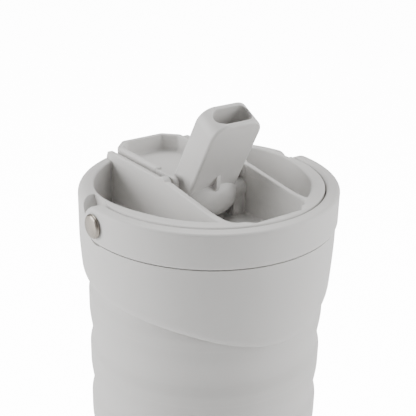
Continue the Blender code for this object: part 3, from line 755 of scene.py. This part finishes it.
class CUP_OT_lid(bpy.types.Operator):
    """Build the lid with its collar, pockets and channel"""
    bl_idname = "cup.lid"
    bl_label = "Lid"

    def execute(self, context):
        size = sizes()
        lid = collar_body()
        carve(lid, lid_cuts())
        carve(lid, [channel_wall(-1), channel_wall(1)], "UNION")
        carve(lid, cover_cuts())
        baked(lid)
        post_in = size.spout_width / 2 + SLIP
        deck = SHELF_Z - size.deck_drop
        adds = []
        for sign in (-1, 1):
            near = sign * post_in
            far = sign * (size.channel_half + size.channel_wall / 2)
            adds.append(block((min(near, far), PIVOT.y - POST_HALF, deck - 0.001),
                              (max(near, far), PIVOT.y + POST_HALF, PIVOT.z), 0.0005))
            adds.append(rod(POST_HEAD_R, near, far, PIVOT.y, PIVOT.z, 64, 0.0004))
            adds.append(rod(BOSS_R, sign * (COVER_HIGH.x + 2 * SLIP),
                            sign * (size.channel_half + size.channel_wall - 0.0001),
                            HINGE.y, HINGE.z, 48, 0.0004))
        carve(lid, adds, "UNION")
        holes = []
        for sign in (-1, 1):
            holes.append(rod(AXLE_BORE_R, sign * post_in * 0.9, sign * (post_in + 0.0036),
                             PIVOT.y, PIVOT.z, 32))
            holes.append(rod(PIN_BORE_R, sign * COVER_HIGH.x,
                             sign * (size.channel_half + 0.0012), HINGE.y, HINGE.z, 32))
            holes.append(rod(RIVET_BORE_R, sign * (RIVET_LOW.x - GAP),
                             sign * RIVET_BORE_END, 0.0, AXIS_Z, 48))

        def port(work):
            bmesh.ops.create_cone(work, cap_ends=True, segments=48, radius1=PORT_R,
                                  radius2=PORT_R, depth=0.01,
                                  matrix=Matrix.Translation((0.0, PIVOT.y, deck)))
        holes.append(port)
        carve(lid, holes)
        baked(lid)
        finish_piece(lid, "lid", satin_plastic(), ["lid_shell"])
        return {"FINISHED"}


# ---------------------------------------------------------------- handle
class CUP_OT_handle(bpy.types.Operator):
    """Build the half-ring handle with its round ends"""
    bl_idname = "cup.handle"
    bl_label = "Handle"

    def execute(self, context):
        inner = HANDLE_OUT - HANDLE_WALL
        half = (HANDLE_HIGH.z - HANDLE_LOW.z) / 2
        edge = 0.0011
        corners = []
        for centre, start in (((HANDLE_OUT - edge, half - edge), 90),
                              ((HANDLE_OUT - edge, -half + edge), 0),
                              ((inner + edge, -half + edge), -90),
                              ((inner + edge, half - edge), -180)):
            corners += arc(edge, start, start - 90, 6, centre)
        loops = []
        steps = 10
        for step in range(steps, 0, -1):
            a = math.pi / 2 * step / steps * 0.985
            loops.append([(-x, half * math.sin(a), z * math.cos(a)) for x, z in corners])
        around = 120
        for step in range(around + 1):
            a = math.pi + math.pi * step / around
            loops.append([(x * math.cos(a), x * math.sin(a), z) for x, z in corners])
        for step in range(1, steps + 1):
            a = math.pi / 2 * step / steps * 0.985
            loops.append([(x, half * math.sin(a), z * math.cos(a)) for x, z in corners])
        work = bmesh.new()
        loft(work, loops)
        bmesh.ops.translate(work, verts=work.verts, vec=(0.0, 0.0, AXIS_Z))
        handle = link("handle_surface", mesh_from("handle_surface", work))
        bores = [rod(0.0034, sign * (inner - 0.002), sign * (HANDLE_OUT + 0.002), 0.0, AXIS_Z, 48)
                 for sign in (-1, 1)]
        carve(handle, bores)
        baked(handle)
        finish_piece(handle, "handle", satin_plastic(), ["carry_handle"])
        return {"FINISHED"}


class CUP_OT_rivets(bpy.types.Operator):
    """Build the two rivets with a flat face and a bright rolled rim"""
    bl_idname = "cup.rivets"
    bl_label = "Rivets"

    def execute(self, context):
        for side, sign in (("left", -1), ("right", 1)):
            head = RIVET_HIGH.x
            head_r = RIVET_HEAD_R
            bevel = 0.00045
            foot_x = HANDLE_OUT + GAP
            profile = [(head, 0.0), (head, head_r - bevel - 0.0001),
                       (head - 0.00006, head_r - bevel), (head - bevel, head_r - 0.00006),
                       (head - bevel - 0.0001, head_r), (foot_x, head_r),
                       (foot_x, RIVET_SHANK_R), (RIVET_LOW.x, RIVET_SHANK_R),
                       (RIVET_LOW.x, 0.0)]
            work = bmesh.new()
            verts = [work.verts.new((sign * x, 0.0, radius)) for x, radius in profile]
            edges = [work.edges.new(pair) for pair in zip(verts, verts[1:])]
            bmesh.ops.spin(work, geom=verts + edges, cent=(0.0, 0.0, 0.0), axis=(1.0, 0.0, 0.0),
                           angle=2 * math.pi, steps=72, use_merge=True)
            bmesh.ops.translate(work, verts=work.verts, vec=(0.0, 0.0, AXIS_Z))
            name = "rivet_surface_" + side
            rivet = link(name, mesh_from(name, work))
            finish_piece(rivet, "lid", brushed_nickel(), ["handle_rivet_" + side])
        return {"FINISHED"}


# ---------------------------------------------------------------- spout
class CUP_OT_spout(bpy.types.Operator):
    """Build the drinking spout with its mouth slot and hub"""
    bl_idname = "cup.spout"
    bl_label = "Spout"

    def execute(self, context):
        size = sizes()
        half = size.spout_width / 2
        tall = size.spout_length
        thick = size.spout_thick
        behind = SPOUT_BACKSET
        lean = Matrix.Translation(PIVOT) @ Matrix.Rotation(math.radians(28.0), 4, "X")
        corner = arc(0.0055, 0, 90, 12, (half - 0.0055, tall - 0.0055))
        outline = [(half, 0.0)] + corner
        outline += [(-x, z) for x, z in reversed(corner)] + [(-half, 0.0)]
        work = bmesh.new()
        edge = 0.0009
        levels = []
        for step in range(6):
            a = math.pi / 2 * step / 5
            levels.append((-edge * (1 - math.sin(a)), -thick / 2 + edge * (1 - math.cos(a))))
        levels += [(grow, -depth) for grow, depth in reversed(levels)]
        loops = [[(x, y + behind, z) for x, z in widened(outline, grow)] for grow, y in levels]
        loft(work, loops)
        bmesh.ops.transform(work, matrix=lean, verts=work.verts)
        spout = link("spout_surface", mesh_from("spout_surface", work))

        def fin(work):
            verts = [work.verts.new((-0.0007, y, z)) for y, z in
                     ((behind - thick / 2 + 0.001, 0.0050), (behind - thick / 2 + 0.001, 0.0120),
                      (behind - thick / 2 - 0.0001, 0.0116), (behind - thick / 2 - 0.0019, 0.0080),
                      (behind - thick / 2 - 0.0019, 0.0050))]
            face = work.faces.new(verts)
            raised = bmesh.ops.extrude_face_region(work, geom=[face])
            moved = [item for item in raised["geom"] if isinstance(item, bmesh.types.BMVert)]
            bmesh.ops.translate(work, verts=moved, vec=(0.0014, 0.0, 0.0))
            bmesh.ops.transform(work, matrix=lean, verts=work.verts)

        def hub(work):
            steps = 24
            side = half - 0.00015
            profile = []
            for step in range(steps + 1):
                x = side * (2 * step / steps - 1)
                profile.append((x, size.hub_r * (1.0 - (abs(x) / 0.0116) ** 2.8) ** 0.5))
            verts = [work.verts.new((x, PIVOT.y, PIVOT.z + radius)) for x, radius in profile]
            edges = [work.edges.new(pair) for pair in zip(verts, verts[1:])]
            bmesh.ops.spin(work, geom=verts + edges, cent=PIVOT, axis=(1.0, 0.0, 0.0),
                           angle=2 * math.pi, steps=96, use_merge=True)
            bmesh.ops.holes_fill(work, edges=[item for item in work.edges if item.is_boundary])
        carve(spout, [fin, hub], "UNION")
        slot_r = size.slot_thick / 2
        end = size.slot_width / 2 - slot_r
        slot = (arc(slot_r, -90, 90, 16, (end, behind - 0.0001))
                + arc(slot_r, 90, 270, 16, (-end, behind - 0.0001)))

        def drain(work):
            place = Matrix.Translation((0.0, PIVOT.y, PIVOT.z - size.hub_r / 2 + 0.002))
            bmesh.ops.create_cone(work, cap_ends=True, segments=40, radius1=DRAIN_R,
                                  radius2=DRAIN_R, depth=size.hub_r + 0.006, matrix=place)
        cuts = [well(slot, size.hub_r * 0.6, tall, 0.0, 0.0004, matrix=lean), drain]
        for sign in (-1, 1):
            cuts.append(rod(AXLE_BORE_R, sign * (half - 0.0033), sign * (half + 0.002),
                            PIVOT.y, PIVOT.z, 32))
        carve(spout, cuts)
        baked(spout)
        finish_piece(spout, "spout", spout_plastic(), ["spout"])
        return {"FINISHED"}


# ---------------------------------------------------------------- cover
class CUP_OT_cover(bpy.types.Operator):
    """Build the shallow cover that lies open behind the spout"""
    bl_idname = "cup.cover"
    bl_label = "Spout cover"

    def execute(self, context):
        size = sizes()
        half = COVER_HIGH.x
        wall = size.cover_wall
        front = COVER_FRONT
        outline = softened(chamfered(half, front, COVER_HIGH.y, COVER_CORNER), 0.0020)
        work = bmesh.new()
        edge = 0.0006
        tall = COVER_HIGH.z - COVER_LOW.z
        levels = []
        for step in range(4):
            a = math.pi / 2 * step / 3
            levels.append((-edge * (1 - math.sin(a)), edge * (1 - math.cos(a))))
        levels += [(grow, tall - rise) for grow, rise in reversed(levels)]
        loops = [[(x, y, COVER_LOW.z + z) for x, y in widened(outline, grow)]
                 for grow, z in levels]
        loft(work, loops)
        cover = link("cover_surface", mesh_from("cover_surface", work))
        inner = half - wall
        pocket = softened(chamfered(inner, front - 0.002, COVER_HIGH.y - wall,
                                    COVER_CORNER - wall * 0.4), 0.0018)
        carve(cover, [well(pocket, COVER_LOW.z + wall, COVER_HIGH.z, 0.0012, 0.0004)])
        baked(cover)
        arms = []
        for sign in (-1, 1):
            near = sign * (inner + 0.0001)
            far = sign * (half - 0.0001)
            rise = 0.0024
            arms.append(block((min(near, far), HINGE.y, HINGE.z - rise),
                              (max(near, far), front + wall / 2, HINGE.z + rise)))
            arms.append(rod(KNUCKLE_R, sign * inner, sign * half, HINGE.y, HINGE.z, 64, 0.0003))
        carve(cover, arms, "UNION")
        carve(cover, [rod(PIN_BORE_R, sign * (inner - 0.002), sign * (half + 0.002),
                          HINGE.y, HINGE.z, 32) for sign in (-1, 1)])
        baked(cover)
        finish_piece(cover, "cover", spout_plastic(), ["spout_cover"])
        return {"FINISHED"}


class CUP_OT_small(bpy.types.Operator):
    """Give the seals, bushes, axles and pins their finishes"""
    bl_idname = "cup.small"
    bl_label = "Seals and pins"

    def execute(self, context):
        silicone = ["foot_ring", "lid_gasket", "spout_seal"]
        metal = []
        plastic = []
        for side in ("left", "right"):
            metal += ["spout_axle_" + side, "cover_pin_" + side]
            plastic.append("rivet_bush_" + side)
        for names, finish in ((silicone, matte_silicone()), (metal, brushed_nickel()),
                              (plastic, satin_plastic())):
            for name in names:
                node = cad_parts[name]
                if not node.material_slots:
                    node.data.materials.append(finish)
                for place in node.material_slots:
                    place.material = finish
        return {"FINISHED"}


# ---------------------------------------------------------------- stage
VIEW_AZIMUTH = math.radians(-37.0)
VIEW_ELEVATION = math.radians(23.0)
VIEW_ROLL = math.radians(1.27)
VIEW_DISTANCE = 7.0


class CUP_OT_stage(bpy.types.Operator):
    """Build the floor, the lights and the camera"""
    bl_idname = "cup.stage"
    bl_label = "Stage"

    def execute(self, context):
        work = bmesh.new()
        bmesh.ops.create_grid(work, x_segments=8, y_segments=8, size=4.0)
        floor = link("stage_floor", mesh_from("stage_floor", work))
        floor.data.materials.append(stage_floor())
        world = bpy.data.worlds.new("studio")
        world.use_nodes = True
        sky = world.node_tree.nodes["Background"]
        sky.inputs["Color"].default_value = (1.0, 1.0, 1.0, 1.0)
        seen = world.node_tree.nodes.new("ShaderNodeLightPath")
        glow = world.node_tree.nodes.new("ShaderNodeMapRange")
        glow.inputs["To Min"].default_value = 0.22
        glow.inputs["To Max"].default_value = 14.0
        world.node_tree.links.new(seen.outputs["Is Camera Ray"], glow.inputs["Value"])
        world.node_tree.links.new(glow.outputs["Result"], sky.inputs["Strength"])
        bpy.context.scene.world = world
        aim = Vector((0.0, 0.0, SHELF_Z))
        lights = (("left_softbox", 82.0, 18.0, 0.75, 8.0, 0.55),
                  ("right_softbox", -88.0, 18.0, 0.75, 6.5, 0.55),
                  ("top_softbox", 175.0, 68.0, 0.8, 6.0, 0.6))
        for name, azimuth, elevation, distance, power, width in lights:
            data = bpy.data.lights.new(name, "AREA")
            data.energy = power
            data.size = width
            lamp = bpy.data.objects.new(name, data)
            a = math.radians(azimuth) - VIEW_AZIMUTH
            e = math.radians(elevation)
            away = Vector((-math.sin(a) * math.cos(e), -math.cos(a) * math.cos(e), math.sin(e)))
            lamp.location = aim + away * distance
            lamp.rotation_euler = away.to_track_quat("Z", "Y").to_euler()
            bpy.context.scene.collection.objects.link(lamp)
        data = bpy.data.cameras.new("camera")
        data.sensor_width = 36.0
        data.lens = 77.44
        data.clip_start = 0.01
        camera = bpy.data.objects.new("camera", data)
        away = Vector((math.sin(VIEW_AZIMUTH) * math.cos(VIEW_ELEVATION),
                       -math.cos(VIEW_AZIMUTH) * math.cos(VIEW_ELEVATION),
                       math.sin(VIEW_ELEVATION)))
        target = Vector((0.00013, -0.0001, SHELF_Z + 0.0458 * COLLAR_R))
        right = UP.cross(away).normalized()
        over = away.cross(right)
        turned_right = right * math.cos(VIEW_ROLL) + over * math.sin(VIEW_ROLL)
        turned_up = over * math.cos(VIEW_ROLL) - right * math.sin(VIEW_ROLL)
        basis = Matrix((turned_right, turned_up, away)).transposed().to_4x4()
        camera.matrix_world = Matrix.Translation(target + away * VIEW_DISTANCE * COLLAR_R) @ basis
        bpy.context.scene.collection.objects.link(camera)
        bpy.context.scene.camera = camera
        return {"FINISHED"}


class CUP_PT_panel(bpy.types.Panel):
    """Travel cup steps and settings"""
    bl_label = "Travel cup"
    bl_idname = "CUP_PT_panel"
    bl_space_type = "VIEW_3D"
    bl_region_type = "UI"
    bl_category = "Travel cup"

    def draw(self, context):
        layout = self.layout
        for step in STEPS:
            layout.operator(step.bl_idname)
        for group, kind in ((context.scene.cup_sizes, CupSizes),
                            (context.scene.cup_colours, CupColours)):
            box = layout.box()
            for name in kind.__annotations__:
                box.prop(group, name)


STEPS = (CUP_OT_stage, CUP_OT_wall, CUP_OT_lid, CUP_OT_handle, CUP_OT_rivets, CUP_OT_spout,
         CUP_OT_cover, CUP_OT_small)
CLASSES = (CupSizes, CupColours) + STEPS + (CUP_PT_panel,)


def register():
    """Register the classes and their settings."""
    for kind in CLASSES:
        bpy.utils.register_class(kind)
    bpy.types.Scene.cup_sizes = bpy.props.PointerProperty(type=CupSizes)
    bpy.types.Scene.cup_colours = bpy.props.PointerProperty(type=CupColours)


def unregister():
    """Remove the classes and their settings."""
    del bpy.types.Scene.cup_colours
    del bpy.types.Scene.cup_sizes
    for kind in reversed(CLASSES):
        bpy.utils.unregister_class(kind)


def main():
    """Build everything."""
    register()
    bpy.ops.cup.stage()
    bpy.ops.cup.wall()
    bpy.ops.cup.lid()
    bpy.ops.cup.handle()
    bpy.ops.cup.rivets()
    bpy.ops.cup.spout()
    bpy.ops.cup.cover()
    bpy.ops.cup.small()


if __name__ == "__main__":
    main()
